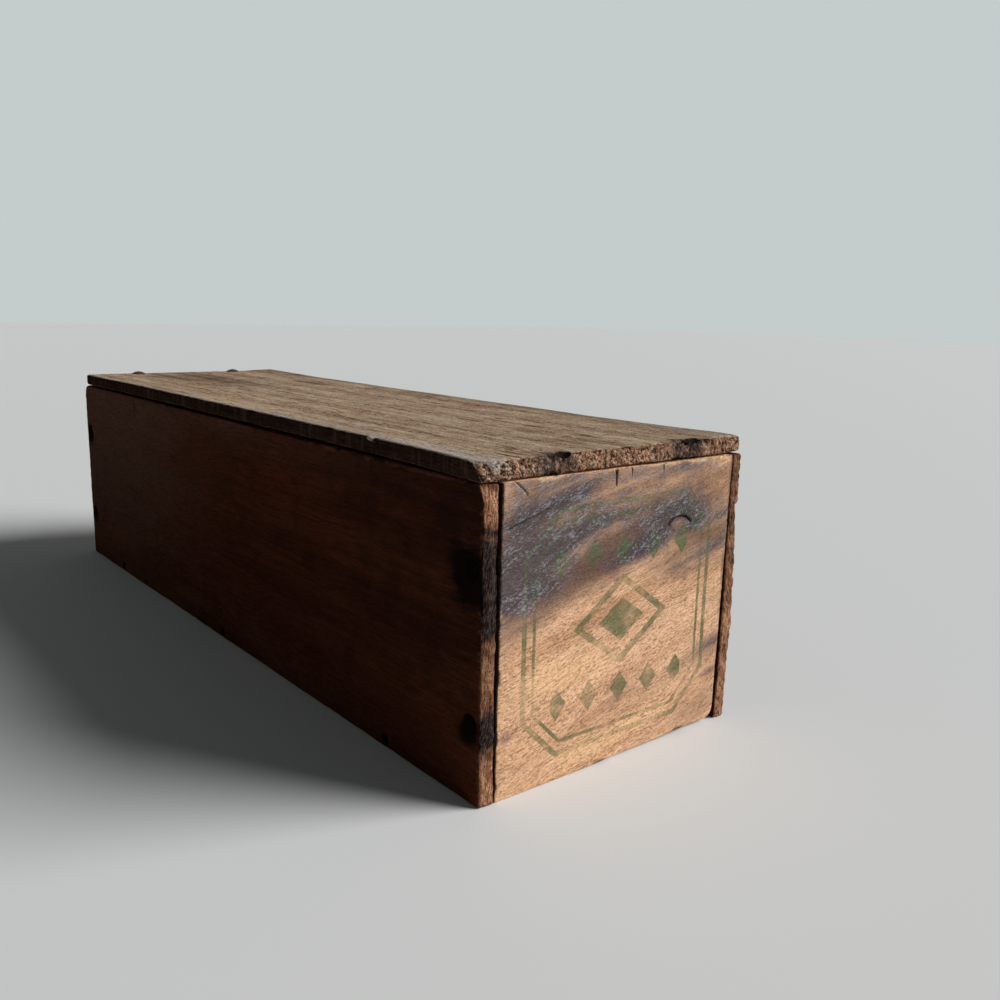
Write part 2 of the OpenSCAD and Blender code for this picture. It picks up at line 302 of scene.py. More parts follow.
class Surface:
    """A procedural material. Its place, x, y and z, is on the object in millimetres."""

    def __init__(self, name):
        self.material = bpy.data.materials.new(name)
        self.material.use_nodes = True
        self.tree = self.material.node_tree
        self.add, self.link = self.tree.nodes.new, self.tree.links.new
        self.shader = self.tree.nodes["Principled BSDF"]
        place = self.add("ShaderNodeTexCoord")
        split = self.add("ShaderNodeSeparateXYZ")
        self.link(place.outputs["Object"], split.inputs[0])
        metres = [Field(self.tree, output) for output in split.outputs]
        self.place = self.x, self.y, self.z = tuple(each * (1 / MM) for each in metres)

    def noise(self, places, sizes, seed, detail=2.0, roughness=0.55):
        """Noise from 0 to 1 over three fields, in patches of these sizes."""
        join = self.add("ShaderNodeCombineXYZ")
        for slot, place, size, shift in zip(join.inputs, places, sizes, (1, 2, 3)):
            scaled = place.op("MULTIPLY_ADD", 1 / size, 7.3 * seed + 3.1 * shift)
            self.link(scaled.socket, slot)
        node = self.add("ShaderNodeTexNoise")
        node.inputs["Scale"].default_value = 1.0
        node.inputs["Detail"].default_value = detail
        node.inputs["Roughness"].default_value = roughness
        self.link(join.outputs[0], node.inputs["Vector"])
        return Field(self.tree, node.outputs[0])

    def mask(self, name):
        """One of the board's masks."""
        node = self.add("ShaderNodeAttribute")
        node.attribute_name = name
        return Field(self.tree, node.outputs["Fac"])

    def mix(self, factor, first, second):
        """A colour from first, at factor 0, to second, at factor 1. Each is screen values or a mix."""
        node = self.add("ShaderNodeMix")
        node.data_type = "RGBA"
        self.link(factor.socket, node.inputs[0])
        for slot, value in ((node.inputs[6], first), (node.inputs[7], second)):
            if isinstance(value, tuple):
                slot.default_value = colour(*value)
            else:
                self.link(value, slot)
        return node.outputs[2]

    def paint(self, factor, tone):
        """Lays a colour or a mix over the base."""
        self.base = self.mix(factor, self.base, tone)

    def finish(self, roughness, height, relief):
        """Connects the colour, the roughness and a bump of up to relief millimetres."""
        bump = self.add("ShaderNodeBump")
        bump.inputs["Distance"].default_value = relief * MM
        self.link(height.socket, bump.inputs["Height"])
        self.link(self.base, self.shader.inputs["Base Color"])
        self.link(roughness.socket, self.shader.inputs["Roughness"])
        self.link(bump.outputs["Normal"], self.shader.inputs["Normal"])
        return self.material


# Slant of the rings in a lengthways board, so that wide and narrow sides both show grain
RING_SLANT = 0.9
# How far the grain of the front and of the rear rises to the right, in degrees
GRAIN_RISE, REAR_GRAIN_RISE = 14, -4
# Direction of the saw marks across an end, in degrees
SAW_RISE = 37
# Spacing of the rows of dark flecks across a board, and where they start
ROW_PITCH, ROW_SHIFT = 17.0, 2.0


def turned(surface, degrees):
    """Places along, across and through a board whose grain lies in XZ and rises to the right."""
    return *rotated(surface.x, surface.z, degrees), surface.y


def lengthways(surface):
    """Places along, across and through a board whose grain runs along Y."""
    return surface.y, surface.x + surface.z * RING_SLANT, surface.z - surface.x * RING_SLANT


def aged_wood(name, places, tones, seed, print_mark=None):
    """Bare old wood. places gives the fields along, across and through its grain."""
    s = Surface(name)
    tone = SimpleNamespace(**tones)
    along, across, through = places(s)
    sway = s.noise((along, across, through), (60, 30, 30), seed, detail=1.0)
    across = across + (sway - 0.5) * tone.sway
    grain = (along, across, through)

    bands = s.noise(grain, (110, 7, 9), seed + 1, detail=3.0)
    streaks = s.noise(grain, (45, 1.6, 1.6), seed + 2, detail=3.0)
    fibres = s.noise(grain, (tone.fibre, 0.42, 0.42), seed + 3)
    flecks = s.noise(grain, (5, 0.8, 0.8), seed + 4).ramp(0.54, 0.66)
    fleck_rows = s.noise(grain, (80, 3.5, 3.5), seed + 9).ramp(0.38, 0.62)
    rows = ((across + ROW_SHIFT) * (1 / ROW_PITCH)).op("PINGPONG", 0.5).ramp(0.24, 0.08)
    fleck_rows = fleck_rows * (1 - tone.rows) + rows * tone.rows
    fuzz = s.noise(grain, (1.0, 0.5, 0.5), seed + 5, detail=3.0, roughness=0.7)
    blotches = s.noise(s.place, (14, 14, 14), seed + 6, detail=3.0)
    mottle = s.noise(grain, (5, 2.2, 2.2), seed + 10, detail=3.0, roughness=0.65)
    saw = s.noise(turned(s, SAW_RISE), (10, 0.75, 9), seed + 11)
    grit = s.noise(grain, (0.8, 0.4, 0.4), seed + 12, roughness=0.6)
    growth = s.noise(grain, (150, 6, 6), seed + 13, detail=1.0)
    dashes = s.noise(grain, (9, 1.3, 1.3), seed + 14).ramp(0.42, 0.56)
    ring_lines = growth.op("PINGPONG", 0.07).ramp(0.022, 0.004) * dashes

    # Long grain, with plainer wood inside
    s.base = s.mix(bands.ramp(0.42, 0.68), tone.light, tone.middle)
    s.paint(streaks.ramp(0.5, 0.74) * tone.streak, tone.deep)
    s.paint(blotches.ramp(0.5, 0.75) * tone.blotch, tone.deep)
    inside = s.mix(bands.ramp(0.35, 0.65), tone.inner_light, tone.inner_deep)
    inside = s.mix(streaks.ramp(0.5, 0.75) * 0.5, inside, tone.middle)
    s.paint(s.mask("inside"), inside)
    s.paint(fleck_rows * tone.fleck * 0.5, tone.deep)
    s.paint(flecks * fleck_rows * tone.fleck, tone.fleck_tone)
    s.paint(ring_lines * tone.ring, tone.fleck_tone)

    # Torn end grain
    torn = s.noise(turned(s, tone.end_slant), (1.9, 0.5, 1.5), seed + 7, detail=3.0, roughness=0.6)
    rings = s.noise((across, through, along), (2.2, 9.0, 30), seed + 8, detail=1.0)
    end_wood = s.mix(rings.ramp(0.36, 0.64), tone.end_light, tone.end_deep)
    crumbs = s.noise(s.place, (1.2, 1.4, 1.0), seed + 15, detail=3.0, roughness=0.6)
    crumbly = torn * (1 - tone.crumbs) + crumbs * tone.crumbs
    # Painted shade and highlights: the end grain is darkened in the hollows and lightened on the
    # raised crumbs of its bump.
    end_wood = s.mix(crumbly.ramp(0.51, 0.43) * tone.torn, end_wood, tone.dark)
    end_wood = s.mix(crumbly.ramp(0.55, 0.68) * 0.7, end_wood, tone.pale)
    end_grain = s.mask("end_grain")
    s.paint(end_grain, end_wood)

    s.paint(fuzz.ramp(0.54, 0.74) * tone.speck, tone.pale)
    s.paint(saw.ramp(0.52, 0.68) * tone.saw, tone.deep)

    # Weathering, with painted shade and light, from the board's masks
    patchy = (fibres * 0.2 + blotches * 0.4 + mottle * 0.4 + bands * 0.5 + fuzz * 0.3) - 0.9
    brown = (s.mask("brown") * 1.25 + patchy * 0.8).ramp(0.05, 0.95) * s.mask("brown").ramp(0.02, 0.2)
    s.paint(brown * 0.9, tone.brown)
    stain = (s.mask("stain") * 1.35 + patchy * 1.25).ramp(0.12, 0.95)
    s.paint(stain * s.mask("stain").ramp(0.02, 0.2) * 0.94, tone.stain)
    if print_mark:
        print_mark(s, fibres, fuzz)
    iron = (s.mask("iron") * 1.3 + patchy * 0.8).ramp(0.2, 0.75) * s.mask("iron").ramp(0.03, 0.2)
    s.paint(iron * 0.95, tone.iron)
    # Painted highlights on the raised crumbs of stained end grain.
    s.paint(iron * end_grain * crumbly.ramp(0.44, 0.66) * 0.12, tone.glint_tone)
    strokes = s.noise((s.y, s.z, s.x), (2.2, 14, 14), seed + 16, detail=3.0)
    s.paint(iron * strokes.ramp(0.48, 0.66) * tone.strokes, tone.deep)
    wear = (s.mask("wear") * 1.2 + patchy).ramp(0.25, 0.85)
    s.paint(wear * tone.wear, tone.worn)
    dirt = (s.mask("dirt") * 1.2 + patchy).ramp(0.3, 0.9)
    s.paint(dirt * 0.9, tone.dirt)

    # Dark pores all over, and pale specks on stained wood
    pores = (fibres * 0.45 + fuzz * 0.55).ramp(0.54, 0.36)
    s.paint(pores * tone.contrast, tone.dark)
    stained = s.mask("stain").ramp(0.05, 0.5) * s.mask("stain").ramp(1.0, 0.75)
    glints = (grit * 0.4 + fuzz * 0.3 + saw * 0.25 + mottle * 0.4).ramp(0.64, 0.84)
    glints = glints * s.mask("dirt").inverse() * stained
    s.paint(glints * tone.glint, tone.glint_tone)

    ripple = fibres * 0.5 + fuzz * 0.8 + saw * tone.saw * 2.0 + streaks * 0.3 - flecks * 0.4
    height = ripple * end_grain.inverse() + end_grain * crumbly * 3.4
    s.shader.inputs["Specular IOR Level"].default_value = tone.sheen
    return s.finish(fibres * 0.2 + 0.7, height, tone.relief)


# Colours of the wood, as they look in even light, except the sides', which hold painted shade

FRONT_TONES = dict(
    light=(230, 184, 146),
    middle=(206, 158, 120),
    deep=(156, 114, 88),
    dark=(80, 58, 48),
    dirt=(26, 20, 18),
    pale=(238, 203, 168),
    brown=(98, 74, 64),
    fleck_tone=(96, 62, 46),
    inner_light=(205, 168, 126),
    inner_deep=(180, 138, 98),
    end_light=(166, 124, 92),
    end_deep=(124, 88, 66),
    stain=(62, 61, 68),
    iron=(30, 28, 30),
    worn=(244, 198, 152),
    sheen=0.04,
    rows=0.0,
    strokes=0.0,
    saw=0.3,
    ring=0.12,
    crumbs=0.4,
    streak=0.35,
    blotch=0.5,
    fleck=0.15,
    wear=0.6,
    contrast=0.6,
    speck=0.6,
    glint=0.58,
    glint_tone=(168, 163, 167),
    torn=0.6,
    fibre=3.0,
    sway=10.0,
    end_slant=70,
    relief=0.36,
)

LID_TONES = dict(
    FRONT_TONES,
    light=(208, 186, 157),
    middle=(188, 162, 134),
    deep=(148, 111, 89),
    dark=(36, 23, 17),
    pale=(216, 188, 158),
    fleck_tone=(92, 52, 38),
    sheen=0.0,
    saw=0.0,
    ring=0.85,
    crumbs=0.65,
    streak=0.7,
    end_light=(170, 130, 104),
    end_deep=(132, 96, 74),
    stain=(94, 73, 52),
    # On the lid this colour only paints shade on the long edges
    iron=(36, 19, 14),
    brown=(68, 56, 53),
    rows=0.6,
    strokes=0.17,
    worn=(203, 192, 183),
    wear=0.75,
    fleck=0.95,
    contrast=0.72,
    speck=0.75,
    glint=0.2,
    torn=0.95,
    fibre=3.2,
    end_slant=118,
)

# Painted shade: the sides' colours are much darker and redder than their wood, so that the deep shade
# on the left side is part of its colour
SIDE_TONES = dict(
    FRONT_TONES,
    light=(92, 49, 33),
    middle=(78, 40, 26),
    deep=(62, 32, 21),
    dark=(36, 21, 15),
    dirt=(18, 12, 10),
    pale=(172, 130, 102),
    brown=(104, 76, 62),
    end_light=(186, 138, 106),
    end_deep=(150, 105, 79),
    stain=(44, 27, 20),
    iron=(17, 14, 15),
    worn=(124, 78, 54),
    sheen=0.0,
    saw=0.0,
    ring=0.3,
    crumbs=0.3,
    streak=0.7,
    wear=0.6,
    speck=0.0,
    glint=0.0,
    fleck=0.4,
    fibre=7.0,
    end_slant=84,
)

# The right side takes the sides' painted-shade colours, a little lighter and browner
RIGHT_TONES = dict(
    SIDE_TONES,
    light=(106, 68, 47),
    middle=(91, 57, 39),
    deep=(72, 45, 31),
)


# The stencil on the front: its ink, its middle (x, z), half its width and height, and its corners' cut
INK = (66, 94, 58)
PRINT_CENTRE, PRINT_HALF, PRINT_CUT = (0.5, 42.0), (36.0, 34.0), 12
DIAGONAL = 0.707
# Step in to the inner rule, and half the medallion's width and height
RULE_STEP, MEDALLION_HALF = 3.4, (17, 12)
# Lozenges: half their spacing, half their width and height, their row's height and half length
LOZENGE_PITCH, LOZENGE_HALF, LOZENGE_ROW, LOZENGE_REACH = 6.0, (3.6, 4.6), 20.0, 26.5


def stamped_ornament(s, fibres, fuzz):
    """A faded green stencil on the front: a cut-cornered double rule round lozenges."""
    front = s.y.ramp(FRONT_FACE + 2.2, FRONT_FACE + 1.8)
    across, up = abs(s.x - PRINT_CENTRE[0]), abs(s.z - PRINT_CENTRE[1])
    half_width, half_height = PRINT_HALF
    border = (across - half_width).op("MAXIMUM", up - half_height)
    border = border.op("MAXIMUM", (across + up - (half_width + half_height - PRINT_CUT)) * DIAGONAL)
    outer_rule = abs(border).ramp(0.95, 0.65)
    inner_rule = abs(border + RULE_STEP).ramp(0.65, 0.4)
    medallion = across * (1 / MEDALLION_HALF[0]) + up * (1 / MEDALLION_HALF[1])
    ring = abs(medallion - 1.0).ramp(0.12, 0.08)
    heart = medallion.ramp(0.56, 0.5)
    row = across.op("PINGPONG", LOZENGE_PITCH) * (1 / LOZENGE_HALF[0])
    row = row + abs(up - LOZENGE_ROW) * (1 / LOZENGE_HALF[1])
    lozenges = row.ramp(1.05, 0.92) * across.ramp(LOZENGE_REACH, LOZENGE_REACH - 0.5)
    ink = outer_rule.op("MAXIMUM", inner_rule).op("MAXIMUM", ring)
    ink = ink.op("MAXIMUM", heart).op("MAXIMUM", lozenges)
    thin = s.noise(s.place, (7, 7, 7), 51, detail=3.0)
    kept = (thin * 0.9 + fibres * 0.5 + fuzz * 0.4).ramp(0.62, 1.05)
    faded = s.mask("stain") * -0.4 + 0.8
    s.paint(ink * front * kept * faded, INK)


def old_iron(name, clean, rusty, sheen):
    """Dark iron with brown rust freckles."""
    s = Surface(name)
    freckles = s.noise(s.place, (1.1, 1.1, 1.1), 3, detail=4.0, roughness=0.65)
    spread = s.noise(s.place, (5, 5, 5), 5, detail=3.0)
    rust = (freckles * 0.6 + spread * 0.6).ramp(0.5, 0.78)
    s.base = s.mix(rust, clean, rusty)
    s.paint(freckles.ramp(0.6, 0.75) * 0.7, (20, 16, 14))
    s.shader.inputs["Metallic"].default_value = sheen
    s.shader.inputs["Specular IOR Level"].default_value = sheen
    return s.finish(rust * 0.25 + 0.6, freckles, 0.15)


# The boards


SIDE_LOW, SIDE_HIGH = box_of("left_side_board")
FRONT_FACE = SIDE_LOW[Y]
WALL_TOP = SIDE_HIGH[Z]
JOINT_DEPTH = box_of("front_end_board")[1][Y] - FRONT_FACE
HINGES = ("left_hinge", "right_hinge")
# Grid spacing of the boards along X, Y and Z
SIDE_GRID = (0.42, 2.6, 0.65)
END_GRID = (0.7, 0.6, 0.7)
BOTTOM_GRID = (1.6, 4.0, 0.6)
LID_GRID = (0.45, 3.2, 0.32)
# Wall of a mortise: far and near grid line outside the leaf, and their spacing
MORTISE_LINES = (0.16, 0.06, 0.1)
# Play round a leaf in its mortise, and the mortise's depth
LEAF_PLAY, SEAT_DEPTH = 0.1, 0.85


def edge_zones(low, high, width, step):
    """Zones of close grid lines along both ends of an axis."""
    return [(low, low + width, step), (high - width, high, step)]


def leaf_zones(leaf):
    """Zones for the steep walls of a hinge mortise, for X and for Y."""
    low, high = box_of(leaf)
    far, near, step = MORTISE_LINES
    x_zones = [(low[X] - far, low[X] - near, step), (high[X] + near, high[X] + far, step)]
    return x_zones, [(low[Y] - far, low[Y] - near, step)]


def cut_mortise(board, leaf, side, level):
    """Sinks a hinge leaf's seat into a board's top or underside, to a level."""
    low, high = box_of(leaf)
    x, y, z = board.start.T
    seat = (x > low[X] - LEAF_PLAY) & (x < high[X] + LEAF_PLAY)
    seat &= (y > low[Y] - LEAF_PLAY) & board.on_side(Z, side)
    board.points[seat] = board.start[seat]
    board.points[seat, Z] = level


def nail_places(side, end):
    """(y, z) of the lower and the upper nail at a corner, and the radius of their heads."""
    low, high = box_of(f"{end}_{side}_nails")
    head = (high[Y] - low[Y]) / 2
    return [(low[Y] + head, low[Z] + head), (low[Y] + head, high[Z] - head)], head


def brad_places(side):
    """(y, z) of the three brads along a side, and the radius of their heads."""
    low, high = box_of(f"{side}_bottom_brads")
    head = (high[Z] - low[Z]) / 2
    return [(y, low[Z] + head) for y in np.linspace(low[Y] + head, high[Y] - head, 3)], head


# Depth of the dents round the nails and of the strap marks
NAIL_DENT, STRAP_DENT = 0.5, 0.3
# Thin dents that straps left in the top of the sides: Y, length, strength
STRAP_MARKS = ((-109.0, 6.0, 0.55), (89.0, 13.0, 1.0))
# Black stain round each side's lower and upper nails: strength, radius. It sags by STAIN_DROP.
NAIL_STAINS = {
    ("left", "front"): ((1.1, 8), (1.6, 12)),
    ("left", "rear"): ((1.2, 7), (1.2, 7)),
    ("right", "front"): ((0.4, 6), (0.5, 10)),
    ("right", "rear"): ((0.5, 6), (0.9, 8)),
}
STAIN_DROP = 2.2
# How far a side's front edge frays back, and the left side's top is chipped back
FRAY_DEPTH, SIDE_CHIP = 0.8, 2.2
# A notch in the right side's front edge and a broken step below it: height, depth
EDGE_NOTCH, NOTCH_DEPTH = 69.7, 0.7
STEP_HEIGHT, STEP_DEPTH = 18, 0.9
# Thickness that they squeeze
SQUEEZED = 2.6
# Bow of the right side's front: least, added, height and spread of what is added, and where it starts
BOW_LEAST, BOW_ADDED, BOW_HEIGHT, BOW_SPREAD, BOW_START = 0.5, 0.7, 34, 22, -40
# How much of its inner face is worn off at the top
THINNING = 0.8


def dent_side(board, outer, fasteners):
    """Sinks the wood round the nails and the brads, and the strap marks."""
    x, y, z = board.start.T
    depth = np.zeros(len(x))
    for places, head in fasteners:
        for head_y, head_z in places:
            distance = np.hypot(y - head_y, z - head_z)
            depth = np.maximum(depth, NAIL_DENT * ease(distance, head + 0.9, head - 0.1) * outer)
            board.add("dirt", ease(distance, head + 1.0, head) * 0.8 * outer)
    for mark_y, length, strength in STRAP_MARKS:
        line = ease(np.abs(y - mark_y), 0.6, 0.1) * outer
        line *= ease(board.high[Z] - z, length, 0.5 * length)
        depth = np.maximum(depth, STRAP_DENT * line)
        # Partly grime and partly painted shade: a dark line along each strap dent.
        board.add("dirt", strength * line)
    board.sink(depth)


def fray_front(board, seed):
    """Frays the outer edge of a side's front end."""
    x, y, z = board.start.T
    fraying = board.noise((2.0, 2.0, 1.5), seed)
    outward = np.abs(x)
    edge = ease(outward, outward.max() - 1.8, outward.max())
    edge *= ease(y, FRONT_FACE + 2.5, FRONT_FACE)
    board.move(Y, FRAY_DEPTH * np.clip(fraying, 0, 1) * edge)
    board.add("wear", edge * ease(fraying, 0.2, 0.6))


def warp_right_side(board, outer, nails, head):
    """Breaks the right side's front edge, bows its front out and thins its inner face."""
    low, high = board.low, board.high
    x, y, z = board.start.T
    near_front = ease(y, FRONT_FACE + 5, FRONT_FACE)
    near_outside = np.clip((x - high[X]) / SQUEEZED + 1, 0, 1) * near_front
    notch = ease(np.abs(z - EDGE_NOTCH), 1.2, 0.2)
    broken = ease(z, EDGE_NOTCH - STEP_HEIGHT, EDGE_NOTCH - 2) * (z < EDGE_NOTCH)
    board.move(X, -(NOTCH_DEPTH * notch + STEP_DEPTH * broken) * near_outside)
    # Painted shade in the notch.
    board.add("dirt", notch * near_outside)

    # The wood round the nail heads doesn't bow, so that they stay in sight
    clear = np.ones(len(x))
    for nail_y, nail_z in nails:
        distance = np.hypot(y - nail_y, z - nail_z)
        clear = np.where(outer, np.minimum(clear, ease(distance, head + 0.4, head + 1.6)), clear)
    bow = BOW_LEAST + BOW_ADDED * np.exp(-(((z - BOW_HEIGHT) / BOW_SPREAD) ** 2))
    board.move(X, bow * ease(y, BOW_START, FRONT_FACE) * clear)

    joint_end = FRONT_FACE + JOINT_DEPTH
    thinned = ease(y, joint_end + 8, joint_end) * ease(z, 30, WALL_TOP)
    board.move(X, THINNING * (thinned * (high[X] - x) / (high[X] - low[X])))


def weather_side(board, side, outer, seed):
    """Stained, worn and browned places on a side's front strip and outer face, with painted shade near
    its front end and painted light low down.
    """
    x, y, z = board.start.T
    height = z / WALL_TOP
    strip = 0.34 * ease(np.abs(height - 0.44), 0.22, 0.1)
    if side == "right":
        strip = 0.11 + 0.24 * height
    board.add("stain", strip * board.on_side(Y, -1))
    weathering = board.noise((9, 60, 16), seed)
    away = ease(y, -150, -20)
    board.add("stain", ease(weathering, -0.4, 1.2) * outer * (0.2 + 0.5 * height))
    # Painted shade: darker near the front end, more towards the top.
    board.add("stain", (0.22 + 0.3 * height) * (1 - away) * outer)
    # Painted light: the wear mask lightens the outer face towards the bottom, more towards the rear,
    # standing in for light bounced up from below.
    board.add("wear", ease(height, 0.6, 0.05) * outer * (0.55 + 0.4 * weathering) * (0.5 + 0.5 * away))
    far_top = ease(y, -60, 120) * (0.45 + 0.45 * height)
    along_top = 0.45 * ease(height, 0.75, 1.0) * (0.4 + 0.6 * away)
    board.add("brown", np.maximum(far_top, along_top) * outer * (0.9 + 0.4 * weathering))


def side_board(side, seed):
    """A long side. Its ends show as strips of end grain on the front and the rear."""
    sign = -1 if side == "left" else 1
    node = f"{side}_side_board"
    low, high = box_of(node)
    front_nails, head = nail_places(side, "front")
    rear_nails, head = nail_places(side, "rear")
    brads, brad_head = brad_places(side)
    y_zones = edge_zones(low[Y], high[Y], 9, 0.5)
    y_zones += [(brad_y - 2.5, brad_y + 2.5, 0.5) for brad_y, brad_z in brads]
    y_zones += [(mark_y - 1.2, mark_y + 1.2, 0.2) for mark_y, *rest in STRAP_MARKS]
    z_zones = [(EDGE_NOTCH - 1.5, EDGE_NOTCH + 1.5, 0.3), *edge_zones(low[Z], high[Z], 4.6, 0.4)]
    board = Board(node, SIDE_GRID, ([], y_zones, z_zones))
    x, y, z = board.start.T
    corner = np.hypot(y - high[Y], z - high[Z])
    board.wear_edges(0.7, 2.4, seed, more=ease(corner, 5, 0.5) * 1.2)
    outer, inner = board.on_side(X, sign), board.on_side(X, -sign)
    ends = board.on_side(Y, -1, 1)
    board.roughen(0.10, (6, 22, 2.0), seed + 1)
    board.roughen(0.34, (0.9, 2, 2.4), seed + 2, ends)
    board.roughen(0.15, (3, 50, 16), seed + 3)
    dent_side(board, outer, ((front_nails + rear_nails, head), (brads, brad_head)))
    fray_front(board, seed + 9)
    if side == "left":
        chip = ease(z, high[Z] - 5, high[Z]) * ease(x, high[X], low[X])
        board.move(Y, SIDE_CHIP * chip * ease(y, FRONT_FACE + 8, FRONT_FACE))
    else:
        warp_right_side(board, outer, front_nails, head)

    ragged = board.noise((9, 7, 2.2), seed + 8)
    for nails, end in ((front_nails, "front"), (rear_nails, "rear")):
        for (nail_y, nail_z), (strength, size) in zip(nails, NAIL_STAINS[side, end]):
            distance = np.hypot(y - nail_y, z - nail_z + STAIN_DROP) * (1 + 0.3 * ragged)
            board.add("iron", strength * np.exp(-((distance / size) ** 2)) * ends)
            board.add("iron", strength * np.exp(-((distance / size * 1.9) ** 1.2)) * outer)
    board.masks["wear"] *= 1 - 0.7 * board.masks["iron"] * ends
    board.add("end_grain", ends)
    board.add("inside", inner * (1.0 - ends))
    # Painted shade on the inner face where the ends fit against it.
    behind_ends = (y < FRONT_FACE + JOINT_DEPTH) | (y > -FRONT_FACE - JOINT_DEPTH)
    board.add("dirt", inner & behind_ends & (board.edge_distance > 0.3))
    weather_side(board, side, outer, seed + 6)
    board.make(f"{side}_side_plank", "box", SIDE_WOODS[side])


def patches(x, z, blobs):
    """Soft oval patches that add up, to 1 at most."""
    left = np.ones(len(x))
    for middle_x, middle_z, length, width, degrees, strength in blobs:
        along, across = rotated(x - middle_x, z - middle_z, degrees)
        left = left * (1 - strength * np.exp(-((along / length) ** 2) - (across / width) ** 2))
    return 1 - left


def line_distance(x, z, first, second):
    """Distance from a straight cut, and how far along it from 0 to 1."""
    run, rise = second[0] - first[0], second[1] - first[1]
    part = np.clip(((x - first[0]) * run + (z - first[1]) * rise) / (run**2 + rise**2), 0, 1)
    return np.hypot(x - first[0] - part * run, z - first[1] - part * rise), part


# Weathering on the front, grey, brown and bleached: x, z, radii along and across, slope, strength
FRONT_STAINS = (
    (-36, 68, 20, 13, 14, 0.72),
    (-34, 81, 24, 6, 6, 0.3),
    (0, 85, 60, 4, 0, 0.26),
    (-43, 58, 6, 4, 14, 0.65),
    (-34, 59.5, 10, 2.6, 14, 0.5),
    (-25, 77.5, 18, 2.4, 15, 0.6),
    (-29, 65, 19, 2.6, 17, 0.9),
    (-37, 55, 15, 7, 14, 0.55),
    (-4, 73, 24, 7, 10, 0.4),
    (20, 71, 15, 5, 8, 0.6),
    (9, 61.5, 15, 4.2, 15, 0.56),
    (24, 83, 24, 3, 0, 0.24),
    (29, 66, 5, 3, 14, 0.5),
    (36, 71, 10, 2.5, 10, 0.25),
    (36, 57, 16, 3.0, 13, 0.52),
    (41, 67, 10, 2.4, 12, 0.55),
    (41, 26.5, 9, 2.0, 20, 0.5),
    (40, 17, 8, 1.6, 14, 0.35),
    (-41, 16.5, 7, 1.6, 14, 0.2),
    (6, 19, 22, 2.0, 14, 0.2),
)
FRONT_BROWNS = (
    (30, 77, 34, 11, 4, 0.36),
    (40, 61, 16, 6, 8, 0.7),
    (0, 63, 30, 7, 13, 0.9),
    (30, 51.5, 16, 3, 12, 0.4),
    (42, 42, 10, 6, 6, 0.34),
    (30, 64.5, 6, 3, 14, 0.6),
    (43, 16, 5, 4, 0, 0.3),
    (-24, 53, 18, 4, 12, 0.5),
    (18, 55, 13, 4, 12, 0.4),
    (-35, 26.5, 9, 2.6, 14, 0.42),
    (-42, 17.5, 7, 2, 14, 0.4),
    (12, 17, 26, 3.5, 12, 0.3),
    (-20, 80, 40, 8, 3, 0.42),
    (-38, 46, 18, 6, 14, 0.45),
    (38, 26, 14, 5, 16, 0.45),
    (38, 7, 15, 7, 6, 0.42),
)
FRONT_BLEACHED = (
    (-26, 30, 26, 8, 14, 0.7),
    (-4, 29, 14, 6, 14, 0.4),
    (-12, 6, 30, 6, 10, 0.55),
    (18, 9, 16, 5, 8, 0.4),
    (-34, 12, 10, 4, 10, 0.4),
)
# Lean of the front's left and right edge, shift of the right one, and rise of the bottom edge there
LEFT_LEAN, RIGHT_LEAN, RIGHT_SHIFT, BOTTOM_LIFT = 0.4, 1.0, 0.3, 1.2
# A burst of wood over a nail's tip: middle (x, z), radii, rise, and depth of the crack round it
FLAKE = (22.8, 66.0)
FLAKE_RADII = (4.2, 2.4)
FLAKE_RISE, FLAKE_CRACK = 0.9, 0.6
# Three splits down from the top edge, and slanting cracks: first and last place (x, z), depth, width
SPLITS = (
    ((-4.1, 85.2), (-4.0, 80.4), 0.9, 1.4),
    ((1.9, 85.0), (2.0, 82.6), 0.6, 0.8),
    ((14.8, 85.0), (14.8, 82.2), 0.4, 0.6),
    ((-40.0, 85.0), (-35.4, 81.0), 0.8, 0.6),
    ((-41.8, 73.0), (-28.5, 77.0), 0.6, 0.7),
)


def front_damage(board):
    """The burst, the splits, the weathering and the warp of the front, and its dull right edge."""
    outer = board.on_side(Y, -1)
    x, y, z = board.start.T
    u, v = (x - FLAKE[0]) / FLAKE_RADII[0], (z - FLAKE[1]) / FLAKE_RADII[1]
    radius = np.hypot(u, v)
    rise = ease(radius, 1.0, 0.55) * ease(v, -1.0, 0.6)
    crack = ease(np.abs(radius - 1.12), 0.2, 0.05) * ease(v, -0.1, 0.4)
    depth = FLAKE_CRACK * crack - FLAKE_RISE * rise
    # Painted shade in the crack round the burst.
    board.add("dirt", crack * outer)
    board.add("wear", 0.15 * rise * outer)
    for first, last, deep, width in SPLITS:
        distance, part = line_distance(x, z, first, last)
        split = ease(distance, width / 2 * (1 - 0.6 * part), 0.06)
        depth = np.maximum(depth, deep * split)
        # Painted shade in the split.
        board.add("dirt", split * outer * min(1.0, 1.4 * deep))
    board.sink(depth * outer)
    board.add("stain", patches(x, z, FRONT_STAINS) * (1 - 0.45 * rise) * outer)
    board.add("brown", patches(x, z, FRONT_BROWNS) * (1 - 0.2 * rise) * outer)
    board.add("wear", patches(x, z, FRONT_BLEACHED) * outer)
    right_rim = ease(x, board.high[X] - 2.5, board.high[X] - 0.4)
    board.masks["wear"] *= 1 - 0.9 * right_rim
    board.add("brown", 0.55 * right_rim * ease(z, 15, 50))

    # Its left and right edges lean, and its bottom edge rises at the right
    lean = 2 * z / WALL_TOP - 1
    board.move(X, LEFT_LEAN * lean * ease(x, -20, board.low[X]))
    board.move(X, (RIGHT_SHIFT + RIGHT_LEAN * lean) * ease(x, 10, board.high[X]))
    board.move(Z, BOTTOM_LIFT * ease(x, -30, board.high[X]) * ease(z, 14, 0))


